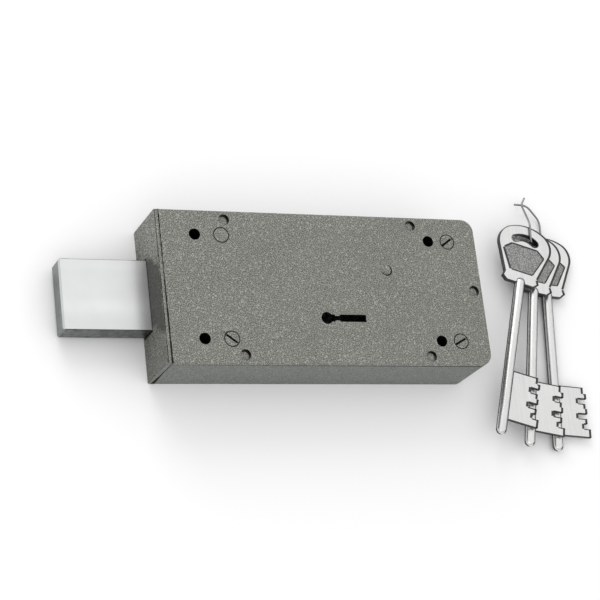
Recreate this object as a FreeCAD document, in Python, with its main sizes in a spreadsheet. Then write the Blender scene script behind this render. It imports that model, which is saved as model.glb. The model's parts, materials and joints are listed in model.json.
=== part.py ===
import FreeCAD, Part
import math
import os
import re

import Sketcher

# A rim shutter lock: a painted steel case with a double-throw bolt, eight levers on one post,
# and three lever keys on a loop of wire beside it.
#
# The lock lies on its back. +Z comes out of the cover, the bolt is thrown along -X, and +Y is up
# when the lock is fixed to a shutter. The origin is the centre of the four fixing holes, on the
# back face. Sizes are in millimetres, angles in degrees.

CASE = {
    "case_length": 200,
    "case_height": 91.3,
    "case_depth": 37.5,
    "side_wall": 2,
    "back_thickness": 2.5,
    "cover_thickness": 2.5,
    "forend_thickness": 2.5,
    "corner_radius": 7.5,
    "cover_edge_radius": 0.5,
}

# Insets are measured from the forend's outer face, or from the far end where they say so.
FIXINGS = {
    "hole_inset": 23,
    "hole_inset_far": 31,
    "hole_span_high": 62,
    "hole_diameter": 6.8,
    "sleeve_diameter": 10,
    "screw_past_near_hole": 16,
    "screw_past_far_hole": 12.5,
    "screw_span_high": 62,
    "screw_head_diameter": 8.8,
    "screw_head_gap": 0.2,
    "screw_head_land": 0.4,
    "screw_diameter": 5,
    "screw_length": 14,
    "screw_slot_width": 1.3,
    "screw_slot_depth": 1,
    "pillar_diameter": 9,
    "thread_gap": 0.02,
    "peg_diameter": 6.5,
    "peg_recess": 1.5,
    "peg_wall_gap": 0.05,
    "peg_past_near_hole_top": 18.5,
    "peg_past_near_hole_bottom": 23,
    "peg_before_far_hole_top": 10.6,
    "peg_before_far_hole_bottom": 8,
    "end_peg_above_centre": 0.35,
}

BOLT = {
    "bolt_width": 42,
    "bolt_above_centre": 1.45,
    "bolt_thickness": 14,
    "bolt_reach": 51.3,
    "bolt_throw": 25,
    "bolt_edge_chamfer": 0.4,
    "bolt_end_chamfer": 1,
    "slide_gap": 0.1,
    "sweep_gap": 6.5,
    "tail_thickness": 5,
    "tail_lap": 16,
    "tail_bar": 4.3,
    "talon_width": 6,
    "talon_gap": 0.4,
    "rivet_diameter": 5,
    "rivet_spacing": 10,
    "stump_diameter": 6,
    "stump_setback": 7.1,
    "stump_headroom": 0.5,
    "bridge_thickness": 2,
    "bridge_length": 20,
    "bridge_setback": 2,
    "guide_length": 25,
}

LEVERS = {
    "pivot_inset": 139.4,
    "pivot_above_centre": 12.25,
    "post_diameter": 6,
    "post_head_diameter": 5.7,
    "post_head_height": 0.6,
    "tenon_diameter": 3.6,
    "lever_thickness": 2,
    "stack_play": 0.6,
    "lever_drop": 7,
    "lever_overlift": 1.5,
    "lever_rim": 3.6,
    "lever_eye_radius": 8,
    "lever_bore_gap": 0.05,
    "gate_gap": 0.2,
    "pocket_gap": 0.6,
    "belly_half_width": 11,
    "belly_flare": 5,
    "belly_foot_radius": 12.2,
    "belly_gap": 0.15,
    "washer_diameter": 11,
    "washer_gap": 0.05,
    "rest_pin_diameter": 4,
    "rest_pin_inset": 66,
    "rest_pin_gap": 0.05,
    "spring_strip": 0.6,
    "spring_inset": 20,
    "spring_leg": 4,
    "spring_root": 2,
    "spring_overhang": 3,
    "spring_post_diameter": 5,
    "spring_post_headroom": 1.6,
    "spring_post_offset": 3,
}

KEYHOLE = {
    "key_inset": 98.2,
    "key_below_centre": 17.85,
    "shank_diameter": 6.4,
    "shank_clearance": 0.8,
    "bit_thickness": 2.2,
    "bit_reach": 23,
    "bit_end_gap": 0.4,
    "reach_clearance": 1.25,
    "slot_width": 4.4,
    "neck_clearance": 0.4,
    "neck_start": 5,
    "neck_length": 2.8,
}

# The distance from the key's axis to each step of its bit, from the step next to the back plate
# up. Each lever's belly is cut to its own step, which brings its gate to the stump.
STEPS = {
    "step_1": 18.5,
    "step_2": 21,
    "step_3": 15,
    "step_4": 21.5,
    "step_5": 20.5,
    "step_6": 15.5,
    "step_7": 21.5,
    "step_8": 19.5,
}

KEYS = {
    "bow_width": 34.6,
    "bow_height": 39,
    "bow_thickness": 3.2,
    "bow_shoulder_drop": 16.4,
    "bow_shoulder_radius": 11,
    "bow_crown_width": 24,
    "bow_crown_drop": 2.9,
    "bow_crown_radius": 26,
    "bow_waist_width": 22.3,
    "bow_waist_rise": 5.5,
    "bow_flare_width": 24.5,
    "bow_flare_rise": 2.5,
    "bow_foot_width": 18.7,
    "panel_depth": 0.4,
    "panel_width": 27,
    "panel_shoulder_drop": 18,
    "panel_top_width": 17,
    "panel_top_drop": 14,
    "panel_foot_width": 14.5,
    "panel_foot_rise": 8,
    "bow_slot_width": 4,
    "bow_slot_depth": 8,
    "bow_slot_radius": 12,
    "bow_slot_half_angle": 33,
    "bow_root": 4,
    "stem_length": 57.5,
    "tip_length": 10,
    "key_lay_gap": 0.1,
    "keys_beside": 57.5,
    "keys_above_centre": 41,
    "fan_angle": 10.9,
    "fan_step": 5.7,
    "hang_angle": 25,
    "wire_lean": 4,
    "wire_diameter": 1.2,
    "wire_bend": 2.2,
    "loop_reach": 21,
    "loop_apex": 9,
    "loop_bulge": 8,
    "loop_bend": 9,
    "loop_lift": 5,
    "loop_tail": 4,
}

doc = FreeCAD.newDocument("shutter_lock")
sheet = doc.addObject("Spreadsheet::Sheet", "sizes")
SIZES = {**CASE, **FIXINGS, **BOLT, **LEVERS, **KEYHOLE, **STEPS, **KEYS}
for row, (alias, size) in enumerate(SIZES.items(), start=1):
    sheet.set(f"A{row}", alias)
    sheet.set(f"B{row}", str(size))
    sheet.setAlias(f"B{row}", alias)
doc.recompute()

WORD = re.compile(r"[a-z_0-9]+")
subparts = []


def bound(text):
    """Turn a formula of size names into one that reads the sheet's cells."""
    return WORD.sub(lambda m: f"<<sizes>>.{m[0]}" if m[0] in SIZES else m[0], text)


def number(text):
    """The present value of a formula of size names."""
    value = sheet.evalExpression(bound(text))
    return float(getattr(value, "Value", value))


def tie(item, **formulas):
    """Bind properties of an object to formulas of size names."""
    for name, text in formulas.items():
        item.setExpression(name, bound(text))


def put(item, x, y, z):
    """Bind an object's place to formulas of size names."""
    for axis, text in zip("xyz", (x, y, z)):
        item.setExpression(f"Placement.Base.{axis}", bound(text))


def keep(item, name):
    """Name an object as one of the lock's pieces."""
    item.Label = name
    subparts.append(item)
    return item


# Shared places, as formulas of the sizes.
HOLE_SPAN = "(case_length - hole_inset - hole_inset_far)"
LEFT = f"(0 - hole_inset - {HOLE_SPAN} / 2)"
RIGHT = f"({LEFT} + case_length)"
TOP = "(case_height / 2)"
BOTTOM = "(0 - case_height / 2)"
INNER_LEFT = f"({LEFT} + forend_thickness)"
INNER_TOP = f"({TOP} - side_wall)"
INNER_BOTTOM = f"({BOTTOM} + side_wall)"
ROOF = "(case_depth - cover_thickness)"
NEAR_HOLE = f"(0 - {HOLE_SPAN} / 2)"
FAR_HOLE = f"({HOLE_SPAN} / 2)"
HOLE_ROWS = ("(0 - hole_span_high / 2)", "(hole_span_high / 2)")
SCREW_COLUMNS = (f"({NEAR_HOLE} + screw_past_near_hole)", f"({FAR_HOLE} + screw_past_far_hole)")
SCREW_ROWS = ("(0 - screw_span_high / 2)", "(screw_span_high / 2)")
KEY_X = f"({LEFT} + key_inset)"
KEY_Y = "(0 - key_below_centre)"
PIVOT_X = f"({LEFT} + pivot_inset)"
PIVOT_Y = "pivot_above_centre"
KEYHOLE_RADIUS = "((shank_diameter + shank_clearance) / 2)"
SCREW_HEAD_TAPER = "((screw_head_diameter - screw_diameter) / 2)"

PEG_TOP_Y = f"({INNER_TOP} - peg_wall_gap - peg_diameter / 2)"
PEG_BOTTOM_Y = f"({INNER_BOTTOM} + peg_wall_gap + peg_diameter / 2)"
PEGS = (
    (f"({NEAR_HOLE} + peg_past_near_hole_top)", PEG_TOP_Y),
    (f"({NEAR_HOLE} + peg_past_near_hole_bottom)", PEG_BOTTOM_Y),
    (f"({FAR_HOLE} - peg_before_far_hole_top)", PEG_TOP_Y),
    (f"({FAR_HOLE} - peg_before_far_hole_bottom)", PEG_BOTTOM_Y),
    (f"({RIGHT} - side_wall - peg_wall_gap - peg_diameter / 2)", "end_peg_above_centre"),
)

TRAVEL = "(2 * bolt_throw)"
BOLT_LOW = "(bolt_above_centre - bolt_width / 2)"
BOLT_HIGH = f"({BOLT_LOW} + bolt_width)"
BOLT_FLOOR = "(back_thickness + slide_gap)"
BOLT_TOP = f"({BOLT_FLOOR} + bolt_thickness)"
BOLT_END = f"({LEFT} - bolt_reach)"
BOLT_REAR = f"({KEY_X} - bit_reach - sweep_gap - {TRAVEL})"
TAIL_TOP = f"({BOLT_FLOOR} + tail_thickness)"
TAIL_SLOT_HALF = "(post_diameter / 2 + slide_gap)"
TAIL_SLOT_LEFT = f"({PIVOT_X} - {TRAVEL} - {TAIL_SLOT_HALF})"
TAIL_SLOT_RIGHT = f"({PIVOT_X} + {TAIL_SLOT_HALF})"
STUMP_X = f"({TAIL_SLOT_LEFT} - stump_setback)"
STUMP_RADIUS = "(stump_diameter / 2)"
RIVET_X = f"({BOLT_REAR} - tail_lap / 2)"

# The levers and their washers share out the depth between the bolt's tail and the cover.
LEVER_COUNT = len(STEPS)
STACK_HEIGHT = f"({ROOF} - stack_play - {TAIL_TOP})"
LEVER_PITCH = f"(({STACK_HEIGHT} + lever_thickness) / {LEVER_COUNT + 1})"
LEVER_AIR = f"({LEVER_PITCH} - lever_thickness)"
LEVER_FLOOR = f"({TAIL_TOP} + {LEVER_AIR})"


def lever_level(index):
    """The height of a lever's underside, counting from 0 at the back plate."""
    return f"({LEVER_FLOOR} + {index} * {LEVER_PITCH})"


def rod(name, x, y, z, radius, height):
    item = doc.addObject("Part::Cylinder", name)
    tie(item, Radius=radius, Height=height)
    put(item, x, y, z)
    return item


def cone(name, x, y, z, radius_low, radius_high, height):
    item = doc.addObject("Part::Cone", name)
    tie(item, Radius1=radius_low, Radius2=radius_high, Height=height)
    put(item, x, y, z)
    return item


def box(name, low, high):
    """A block between two corners, each three formulas."""
    item = doc.addObject("Part::Box", name)
    spans = [f"({b}) - ({a})" for a, b in zip(low, high)]
    tie(item, Length=spans[0], Width=spans[1], Height=spans[2])
    put(item, *low)
    return item


def fuse(name, pieces):
    item = doc.addObject("Part::MultiFuse", name)
    item.Shapes = pieces
    return item


def cut(name, base, tool):
    item = doc.addObject("Part::Cut", name)
    item.Base = base
    item.Tool = tool
    return item


def new_body(name):
    return keep(doc.addObject("PartDesign::Body", name), name)


def new_sketch(body, name, level="0"):
    """A sketch on the body's own XY plane, raised to a level."""
    sketch = body.newObject("Sketcher::SketchObject", name)
    planes = [item for item in body.Origin.OriginFeatures if item.Role == "XY_Plane"]
    sketch.AttachmentSupport = [(planes[0], "")]
    sketch.MapMode = "FlatFace"
    sketch.setExpression("AttachmentOffset.Base.z", bound(level))
    return sketch


def put_in_body(feature, body, x, y, z):
    """Place a primitive feature of a body by its distance from the body's own origin."""
    planes = [item for item in body.Origin.OriginFeatures if item.Role == "XY_Plane"]
    feature.AttachmentSupport = [(planes[0], "")]
    feature.MapMode = "FlatFace"
    for axis, text in zip("xyz", (x, y, z)):
        feature.setExpression(f"AttachmentOffset.Base.{axis}", bound(text))


def pin_point(sketch, edge, point, x, y):
    """Hold one point of a sketch at two formulas."""
    for kind, text in (("DistanceX", x), ("DistanceY", y)):
        rule = Sketcher.Constraint(kind, -1, 1, edge, point, number(text))
        index = sketch.addConstraint(rule)
        sketch.setExpression(f"Constraints[{index}]", bound(text))


def pin_radius(sketch, edge, radius):
    index = sketch.addConstraint(Sketcher.Constraint("Radius", edge, number(radius)))
    sketch.setExpression(f"Constraints[{index}]", bound(radius))


def draw_circle(sketch, x, y, radius):
    centre = FreeCAD.Vector(number(x), number(y), 0)
    circle = Part.Circle(centre, FreeCAD.Vector(0, 0, 1), number(radius))
    edge = sketch.addGeometry(circle)
    pin_point(sketch, edge, 3, x, y)
    pin_radius(sketch, edge, radius)


def arc_between(start, end, radius, turn):
    """The short arc from start to end; turn is +1 for anticlockwise and -1 for clockwise."""
    chord = end - start
    rise = math.sqrt(max(radius**2 - chord.Length**2 / 4, 0))
    side = FreeCAD.Vector(-chord.y, chord.x, 0).normalize()
    centre = (start + end) * 0.5 + side * (turn * rise)
    first, last = (start, end) if turn > 0 else (end, start)
    angles = [math.atan2(p.y - centre.y, p.x - centre.x) for p in (first, last)]
    if angles[1] <= angles[0]:
        angles[1] += 2 * math.pi
    circle = Part.Circle(centre, FreeCAD.Vector(0, 0, 1), radius)
    return Part.ArcOfCircle(circle, *angles)


def draw_outline(sketch, corners):
    """A closed outline. Each corner is (x, y) when a straight edge leaves it, or
    (x, y, radius, turn) when an arc does."""
    places = [FreeCAD.Vector(number(c[0]), number(c[1]), 0) for c in corners]
    ends = []
    for i, corner in enumerate(corners):
        here, there = places[i], places[(i + 1) % len(places)]
        if len(corner) == 2:
            edge = sketch.addGeometry(Part.LineSegment(here, there))
            ends.append((edge, 1, 2))
            continue
        arc = arc_between(here, there, number(corner[2]), corner[3])
        edge = sketch.addGeometry(arc)
        ends.append((edge, 1, 2) if corner[3] > 0 else (edge, 2, 1))
    for i, (edge, start, end) in enumerate(ends):
        following = ends[(i + 1) % len(ends)]
        sketch.addConstraint(Sketcher.Constraint("Coincident", edge, end, following[0], following[1]))
    for (edge, start, end), corner in zip(ends, corners):
        pin_point(sketch, edge, start, corner[0], corner[1])
        if len(corner) > 2:
            pin_radius(sketch, edge, corner[2])


def pad(body, sketch, length, both_ways=False):
    feature = body.newObject("PartDesign::Pad", f"{sketch.Name}_pad")
    feature.Profile = sketch
    if both_ways:
        feature.SideType = "Symmetric"
    tie(feature, Length=length)
    return feature


def pocket(body, sketch, depth):
    """Cut down from a sketch's level."""
    feature = body.newObject("PartDesign::Pocket", f"{sketch.Name}_pocket")
    feature.Profile = sketch
    tie(feature, Length=depth)
    return feature


def rectangle(low_x, low_y, high_x, high_y):
    return [(low_x, low_y), (high_x, low_y), (high_x, high_y), (low_x, high_y)]


def rounded_end(left, low, right, high, radius):
    """A rectangle whose two right-hand corners are rounded."""
    return [
        (left, low),
        (f"{right} - {radius}", low, radius, 1),
        (right, f"{low} + {radius}"),
        (right, f"{high} - {radius}", radius, 1),
        (f"{right} - {radius}", high),
        (left, high),
    ]


def edges_where(shape, test):
    """Names of a shape's edges that pass a test on the edge."""
    return [f"Edge{i}" for i, edge in enumerate(shape.Edges, start=1) if test(edge)]


def at_height(edge, height):
    box_of_edge = edge.BoundBox
    return abs(box_of_edge.ZMin - height) < 1e-4 and abs(box_of_edge.ZMax - height) < 1e-4


def all_fixing_holes():
    return [(x, y) for x in (NEAR_HOLE, FAR_HOLE) for y in HOLE_ROWS]


def all_cover_screws():
    """Top near the forend, bottom near it, top far, bottom far."""
    return [(x, y) for x in SCREW_COLUMNS for y in reversed(SCREW_ROWS)]


# Posts that stand on the back plate inside the case, each with a tenon through that plate.
DROP = "(lever_drop * 1 deg)"
REST_PIN_BELOW = f"({STUMP_RADIUS} + pocket_gap + ({PIVOT_X} - {STUMP_X}) * sin(lever_overlift * 1 deg)"
REST_PIN_BELOW += " + lever_rim + rest_pin_gap + rest_pin_diameter / 2)"
REST_PIN = (
    f"({PIVOT_X} - rest_pin_inset * cos({DROP}) + {REST_PIN_BELOW} * sin({DROP}))",
    f"({PIVOT_Y} - rest_pin_inset * sin({DROP}) - {REST_PIN_BELOW} * cos({DROP}))",
)
SPRING_POST = (
    f"({KEY_X} + spring_post_offset)",
    f"({INNER_TOP} - spring_post_headroom - spring_post_diameter / 2)",
)


def make_case_body():
    """Back plate with its top, bottom and end walls; open towards the forend and the cover."""
    body = new_body("case_body")
    outline = new_sketch(body, "case_outline")
    draw_outline(outline, rounded_end(INNER_LEFT, BOTTOM, RIGHT, TOP, "corner_radius"))
    pad(body, outline, ROOF)
    hollow = new_sketch(body, "case_hollow", ROOF)
    inner_radius = "(corner_radius - side_wall)"
    draw_outline(
        hollow,
        rounded_end(f"{INNER_LEFT} - 1", INNER_BOTTOM, f"({RIGHT} - side_wall)", INNER_TOP, inner_radius),
    )
    pocket(body, hollow, f"{ROOF} - back_thickness")
    holes = new_sketch(body, "case_back_holes", "back_thickness")
    for x, y in all_fixing_holes():
        draw_circle(holes, x, y, "hole_diameter / 2")
    draw_circle(holes, KEY_X, KEY_Y, KEYHOLE_RADIUS)
    for x, y in ((PIVOT_X, PIVOT_Y), REST_PIN, SPRING_POST):
        draw_circle(holes, x, y, "tenon_diameter / 2 + thread_gap")
    pocket(body, holes, "back_thickness * 2")


def make_forend_plate():
    """The plate across the bolt end, with the slot that the bolt runs through."""
    low = (LEFT, BOTTOM, "0")
    high = (INNER_LEFT, TOP, "case_depth")
    blank = box("forend_blank", low, high)
    slot = box(
        "forend_slot",
        (f"{LEFT} - 1", f"{BOLT_LOW} - slide_gap", f"{BOLT_FLOOR} - slide_gap"),
        (f"{INNER_LEFT} + 1", f"{BOLT_HIGH} + slide_gap", f"{BOLT_TOP} + slide_gap"),
    )
    keep(cut("forend_plate", blank, slot), "forend_plate")


def keyhole_outline():
    """A round hole with a slot to the right, necked in where the bit's web passes."""
    half = "(slot_width / 2)"
    neck = "((bit_thickness + neck_clearance) / 2)"
    slot_end = f"({KEY_X} + bit_reach + reach_clearance)"
    neck_end = f"({KEY_X} + neck_start + neck_length)"
    neck_begin = f"({KEY_X} + neck_start)"
    mouth = f"({KEY_X} + sqrt({KEYHOLE_RADIUS} ^ 2 - {half} ^ 2))"
    lower = [
        (mouth, f"{KEY_Y} - {half}"),
        (neck_begin, f"{KEY_Y} - {half}"),
        (neck_begin, f"{KEY_Y} - {neck}"),
        (neck_end, f"{KEY_Y} - {neck}"),
        (neck_end, f"{KEY_Y} - {half}"),
        (slot_end, f"{KEY_Y} - {half}"),
    ]
    upper = [(x, y.replace(f"{KEY_Y} - ", f"{KEY_Y} + ")) for x, y in reversed(lower)]
    top_of_round = (KEY_X, f"{KEY_Y} + {KEYHOLE_RADIUS}", KEYHOLE_RADIUS, 1)
    left_of_round = (f"{KEY_X} - {KEYHOLE_RADIUS}", KEY_Y, KEYHOLE_RADIUS, 1)
    bottom_of_round = (KEY_X, f"{KEY_Y} - {KEYHOLE_RADIUS}", KEYHOLE_RADIUS, 1)
    upper[-1] = upper[-1] + (KEYHOLE_RADIUS, 1)
    return lower + upper + [top_of_round, left_of_round, bottom_of_round]


def make_cover_plate():
    """The lid that closes the case, with all that passes through it."""
    body = new_body("cover_plate")
    outline = new_sketch(body, "cover_outline", ROOF)
    draw_outline(outline, rounded_end(INNER_LEFT, BOTTOM, RIGHT, TOP, "corner_radius"))
    blank = pad(body, outline, "cover_thickness")
    doc.recompute()
    left, top = number(INNER_LEFT), number("case_depth")
    softened = body.newObject("PartDesign::Fillet", "cover_soft_edge")
    rim = edges_where(blank.Shape, lambda e: at_height(e, top) and e.BoundBox.XMax > left + 1)
    softened.Base = (blank, rim)
    tie(softened, Radius="cover_edge_radius")
    doc.recompute()
    holes = new_sketch(body, "cover_holes", "case_depth")
    for x, y in all_fixing_holes():
        draw_circle(holes, x, y, "hole_diameter / 2")
    for x, y in all_cover_screws():
        draw_circle(holes, x, y, "screw_diameter / 2 + thread_gap")
    for x, y in PEGS:
        draw_circle(holes, x, y, "peg_diameter / 2 + thread_gap")
    draw_circle(holes, PIVOT_X, PIVOT_Y, "tenon_diameter / 2 + thread_gap")
    draw_outline(holes, keyhole_outline())
    pocket(body, holes, "cover_thickness * 2")
    land_radius = "screw_head_diameter / 2 + screw_head_gap"
    for i, (x, y) in enumerate(all_cover_screws(), start=1):
        seat = body.newObject("PartDesign::SubtractiveCone", f"cover_seat_{i}")
        tie(seat, Radius1="screw_diameter / 2 + thread_gap", Height=SCREW_HEAD_TAPER)
        tie(seat, Radius2="screw_head_diameter / 2 + thread_gap")
        put_in_body(seat, body, x, y, f"case_depth - screw_head_land - {SCREW_HEAD_TAPER}")
        land = body.newObject("PartDesign::SubtractiveCylinder", f"cover_land_{i}")
        tie(land, Radius=land_radius, Height="screw_head_land * 2")
        put_in_body(land, body, x, y, "case_depth - screw_head_land")


def make_cover_screws():
    """Slotted countersunk screws, flush with the cover, and the pillars that they screw into."""
    slot_turns = (12, -38, 35, 28)
    foot = "(case_depth - screw_length)"
    head_radius = "(screw_head_diameter / 2)"
    pillar_height = f"{ROOF} - back_thickness"
    bore_radius = "screw_diameter / 2 + thread_gap"
    bore_floor = f"({foot} - 1)"
    for i, ((x, y), turn) in enumerate(zip(all_cover_screws(), slot_turns), start=1):
        shank = rod(f"screw_shank_{i}", x, y, foot, "screw_diameter / 2", "screw_length - screw_head_land")
        taper = cone(
            f"screw_taper_{i}",
            x,
            y,
            f"(case_depth - screw_head_land - {SCREW_HEAD_TAPER})",
            "screw_diameter / 2",
            head_radius,
            SCREW_HEAD_TAPER,
        )
        land = rod(f"screw_land_{i}", x, y, "case_depth - screw_head_land", head_radius, "screw_head_land")
        blank = fuse(f"screw_blank_{i}", [shank, taper, land])
        slot = doc.addObject("Part::Box", f"screw_slot_{i}")
        tie(slot, Length="screw_head_diameter * 2", Width="screw_slot_width", Height="screw_slot_depth * 2")
        angle = f"({turn} * 1 deg)"
        along, across = "screw_head_diameter", "(screw_slot_width / 2)"
        put(
            slot,
            f"{x} - {along} * cos({angle}) + {across} * sin({angle})",
            f"{y} - {along} * sin({angle}) - {across} * cos({angle})",
            "case_depth - screw_slot_depth",
        )
        slot.setExpression("Placement.Rotation.Angle", angle)
        keep(cut(f"cover_screw_{i}", blank, slot), f"cover_screw_{i}")

        outer = rod(f"pillar_{i}", x, y, "back_thickness", "pillar_diameter / 2", pillar_height)
        bore = rod(f"pillar_bore_{i}", x, y, bore_floor, bore_radius, f"{ROOF} - {bore_floor} + 1")
        keep(cut(f"screw_pillar_{i}", outer, bore), f"screw_pillar_{i}")


def make_sleeves():
    """Tubes that carry the fixing screws through the case."""
    height = f"{ROOF} - back_thickness"
    for i, (x, y) in enumerate(all_fixing_holes(), start=1):
        outer = rod(f"sleeve_{i}", x, y, "back_thickness", "sleeve_diameter / 2", height)
        bore = rod(f"sleeve_bore_{i}", x, y, "back_thickness - 1", "hole_diameter / 2", f"{height} + 2")
        keep(cut(f"mounting_sleeve_{i}", outer, bore), f"mounting_sleeve_{i}")


def make_pegs():
    """Pegs up the inside of the walls that locate the cover; they stop short of its face."""
    for i, (x, y) in enumerate(PEGS, start=1):
        height = "case_depth - peg_recess - back_thickness"
        peg = rod(f"cover_peg_{i}", x, y, "back_thickness", "peg_diameter / 2", height)
        keep(peg, f"cover_peg_{i}")


def make_lever_post():
    """The levers turn on this post; its end is riveted over and stands proud of the cover."""
    span = f"{ROOF} - back_thickness"
    barrel = rod("post_barrel", PIVOT_X, PIVOT_Y, "back_thickness", "post_diameter / 2", span)
    tenon = rod("post_tenon", PIVOT_X, PIVOT_Y, "0", "tenon_diameter / 2", "case_depth")
    head = cone(
        "post_head",
        PIVOT_X,
        PIVOT_Y,
        "case_depth",
        "post_head_diameter / 2",
        "post_head_diameter / 2 - post_head_height",
        "post_head_height",
    )
    keep(fuse("lever_post", [barrel, tenon, head]), "lever_post")


def make_inner_posts():
    """The pin that dropped levers rest on, and the post that their springs push against."""
    for name, (x, y), diameter in (
        ("lever_rest_pin", REST_PIN, "rest_pin_diameter"),
        ("spring_post", SPRING_POST, "spring_post_diameter"),
    ):
        span = f"{ROOF} - back_thickness"
        barrel = rod(f"{name}_barrel", x, y, "back_thickness", f"{diameter} / 2", span)
        tenon = rod(f"{name}_tenon", x, y, "0", "tenon_diameter / 2", "back_thickness * 2")
        keep(fuse(name, [barrel, tenon]), name)


def make_washers():
    """Spacing washers on the lever post: one under each lever and one over the last."""
    rings = []
    for i in range(LEVER_COUNT + 1):
        floor = f"({lever_level(i)} - {LEVER_AIR} + washer_gap)"
        height = f"({LEVER_AIR} - 2 * washer_gap)"
        outer = rod(f"washer_{i}", PIVOT_X, PIVOT_Y, floor, "washer_diameter / 2", height)
        bore = rod(
            f"washer_bore_{i}",
            PIVOT_X,
            PIVOT_Y,
            f"{floor} - 1",
            "post_diameter / 2 + lever_bore_gap",
            f"{height} + 2",
        )
        rings.append(cut(f"washer_ring_{i}", outer, bore))
    group = doc.addObject("Part::Compound", "lever_washers")
    group.Links = rings
    keep(group, "lever_washers")


def make_bolt_guides():
    """Two bars that guide the bolt's edges and the bridge that holds it down."""
    outer = "(hole_span_high / 2 - sleeve_diameter / 2 - slide_gap * 2)"
    top = f"({BOLT_TOP} + slide_gap)"
    right = f"({INNER_LEFT} + guide_length)"
    upper_low = (INNER_LEFT, f"({BOLT_HIGH} + slide_gap)", "back_thickness")
    upper = box("bolt_guide_upper", upper_low, (right, outer, top))
    lower_high = (right, f"({BOLT_LOW} - slide_gap)", top)
    lower = box("bolt_guide_lower", (INNER_LEFT, f"(0 - {outer})", "back_thickness"), lower_high)
    left = f"({INNER_LEFT} + bridge_setback)"
    bridge = box(
        "bolt_bridge",
        (left, f"(0 - {outer})", top),
        (f"({left} + bridge_length)", outer, f"({top} + bridge_thickness)"),
    )
    keep(upper, "bolt_guide_upper")
    keep(lower, "bolt_guide_lower")
    keep(bridge, "bolt_bridge")


def make_bolt_head():
    """The square bolt, rebated at the back of its rear end for the tail."""
    body = new_body("bolt_head")
    outline = new_sketch(body, "bolt_outline", BOLT_FLOOR)
    draw_outline(outline, rectangle(BOLT_END, BOLT_LOW, BOLT_REAR, BOLT_HIGH))
    blank = pad(body, outline, "bolt_thickness")
    doc.recompute()
    end_x = number(BOLT_END)
    on_end = edges_where(blank.Shape, lambda e: e.BoundBox.XMax < end_x + 1e-4)
    end_cut = body.newObject("PartDesign::Chamfer", "bolt_end_chamfered")
    end_cut.Base = (blank, on_end)
    tie(end_cut, Size="bolt_end_chamfer")
    doc.recompute()
    long_enough = number("bolt_reach")
    along = edges_where(end_cut.Shape, lambda e: e.BoundBox.XLength > long_enough)
    edge_cut = body.newObject("PartDesign::Chamfer", "bolt_edges_chamfered")
    edge_cut.Base = (end_cut, along)
    tie(edge_cut, Size="bolt_edge_chamfer")
    doc.recompute()
    rebate = new_sketch(body, "bolt_rebate", f"{TAIL_TOP} + slide_gap / 2")
    draw_outline(
        rebate,
        rectangle(
            f"({BOLT_REAR} - tail_lap - slide_gap)",
            f"({BOLT_LOW} - 1)",
            f"({BOLT_REAR} + 1)",
            f"({BOLT_HIGH} + 1)",
        ),
    )
    pocket(body, rebate, "tail_thickness * 2")
    rivets = new_sketch(body, "bolt_rivet_holes", BOLT_TOP)
    for y in RIVET_ROWS:
        draw_circle(rivets, RIVET_X, y, "rivet_diameter / 2 + thread_gap")
    pocket(body, rivets, "bolt_thickness * 2")


RIVET_ROWS = (f"({PIVOT_Y} - rivet_spacing)", PIVOT_Y)
TAIL_LOW = f"({PIVOT_Y} - {TAIL_SLOT_HALF} - tail_bar)"
TAIL_HIGH = f"({PIVOT_Y} + {TAIL_SLOT_HALF} + tail_bar)"
TALON_TIP = f"({KEY_Y} + sqrt(bit_reach ^ 2 - bolt_throw ^ 2 / 4) + talon_gap)"
TALON_ROOT = f"({KEY_Y} + bit_reach + talon_gap)"


def make_bolt_tail():
    """The plate that the key's bit drives: two talon notches below, and a slot that rides on
    the lever post. Each notch takes the bolt through one throw."""
    body = new_body("bolt_tail")
    outline = new_sketch(body, "tail_outline", BOLT_FLOOR)
    left = f"({BOLT_REAR} - tail_lap)"
    right = f"({TAIL_SLOT_RIGHT} + tail_bar * 2 / 3)"
    step_x = f"({KEY_X} + bolt_throw / 2 + talon_width)"
    notches = []
    for centre in (f"({KEY_X} - bolt_throw * 3 / 2)", f"({KEY_X} - bolt_throw / 2)"):
        near, far = f"({centre} - talon_width / 2)", f"({centre} + talon_width / 2)"
        notches += [(near, TALON_TIP), (near, TALON_ROOT), (far, TALON_ROOT), (far, TALON_TIP)]
    corners = [(left, TALON_TIP)] + notches
    corners += [(step_x, TALON_TIP), (step_x, TAIL_LOW), (right, TAIL_LOW)]
    corners += [(right, TAIL_HIGH), (left, TAIL_HIGH)]
    draw_outline(outline, corners)
    pad(body, outline, "tail_thickness")
    openings = new_sketch(body, "tail_openings", TAIL_TOP)
    slot_low, slot_high = f"({PIVOT_Y} - {TAIL_SLOT_HALF})", f"({PIVOT_Y} + {TAIL_SLOT_HALF})"
    slot_left = f"({TAIL_SLOT_LEFT} + {TAIL_SLOT_HALF})"
    draw_outline(
        openings,
        [
            (slot_left, slot_low),
            (PIVOT_X, slot_low, TAIL_SLOT_HALF, 1),
            (TAIL_SLOT_RIGHT, PIVOT_Y, TAIL_SLOT_HALF, 1),
            (PIVOT_X, slot_high),
            (slot_left, slot_high, TAIL_SLOT_HALF, 1),
            (TAIL_SLOT_LEFT, PIVOT_Y, TAIL_SLOT_HALF, 1),
        ],
    )
    draw_circle(openings, STUMP_X, PIVOT_Y, "rivet_diameter / 2 + thread_gap")
    for y in RIVET_ROWS:
        draw_circle(openings, RIVET_X, y, "rivet_diameter / 2 + thread_gap")
    pocket(body, openings, "tail_thickness * 2")


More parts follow.
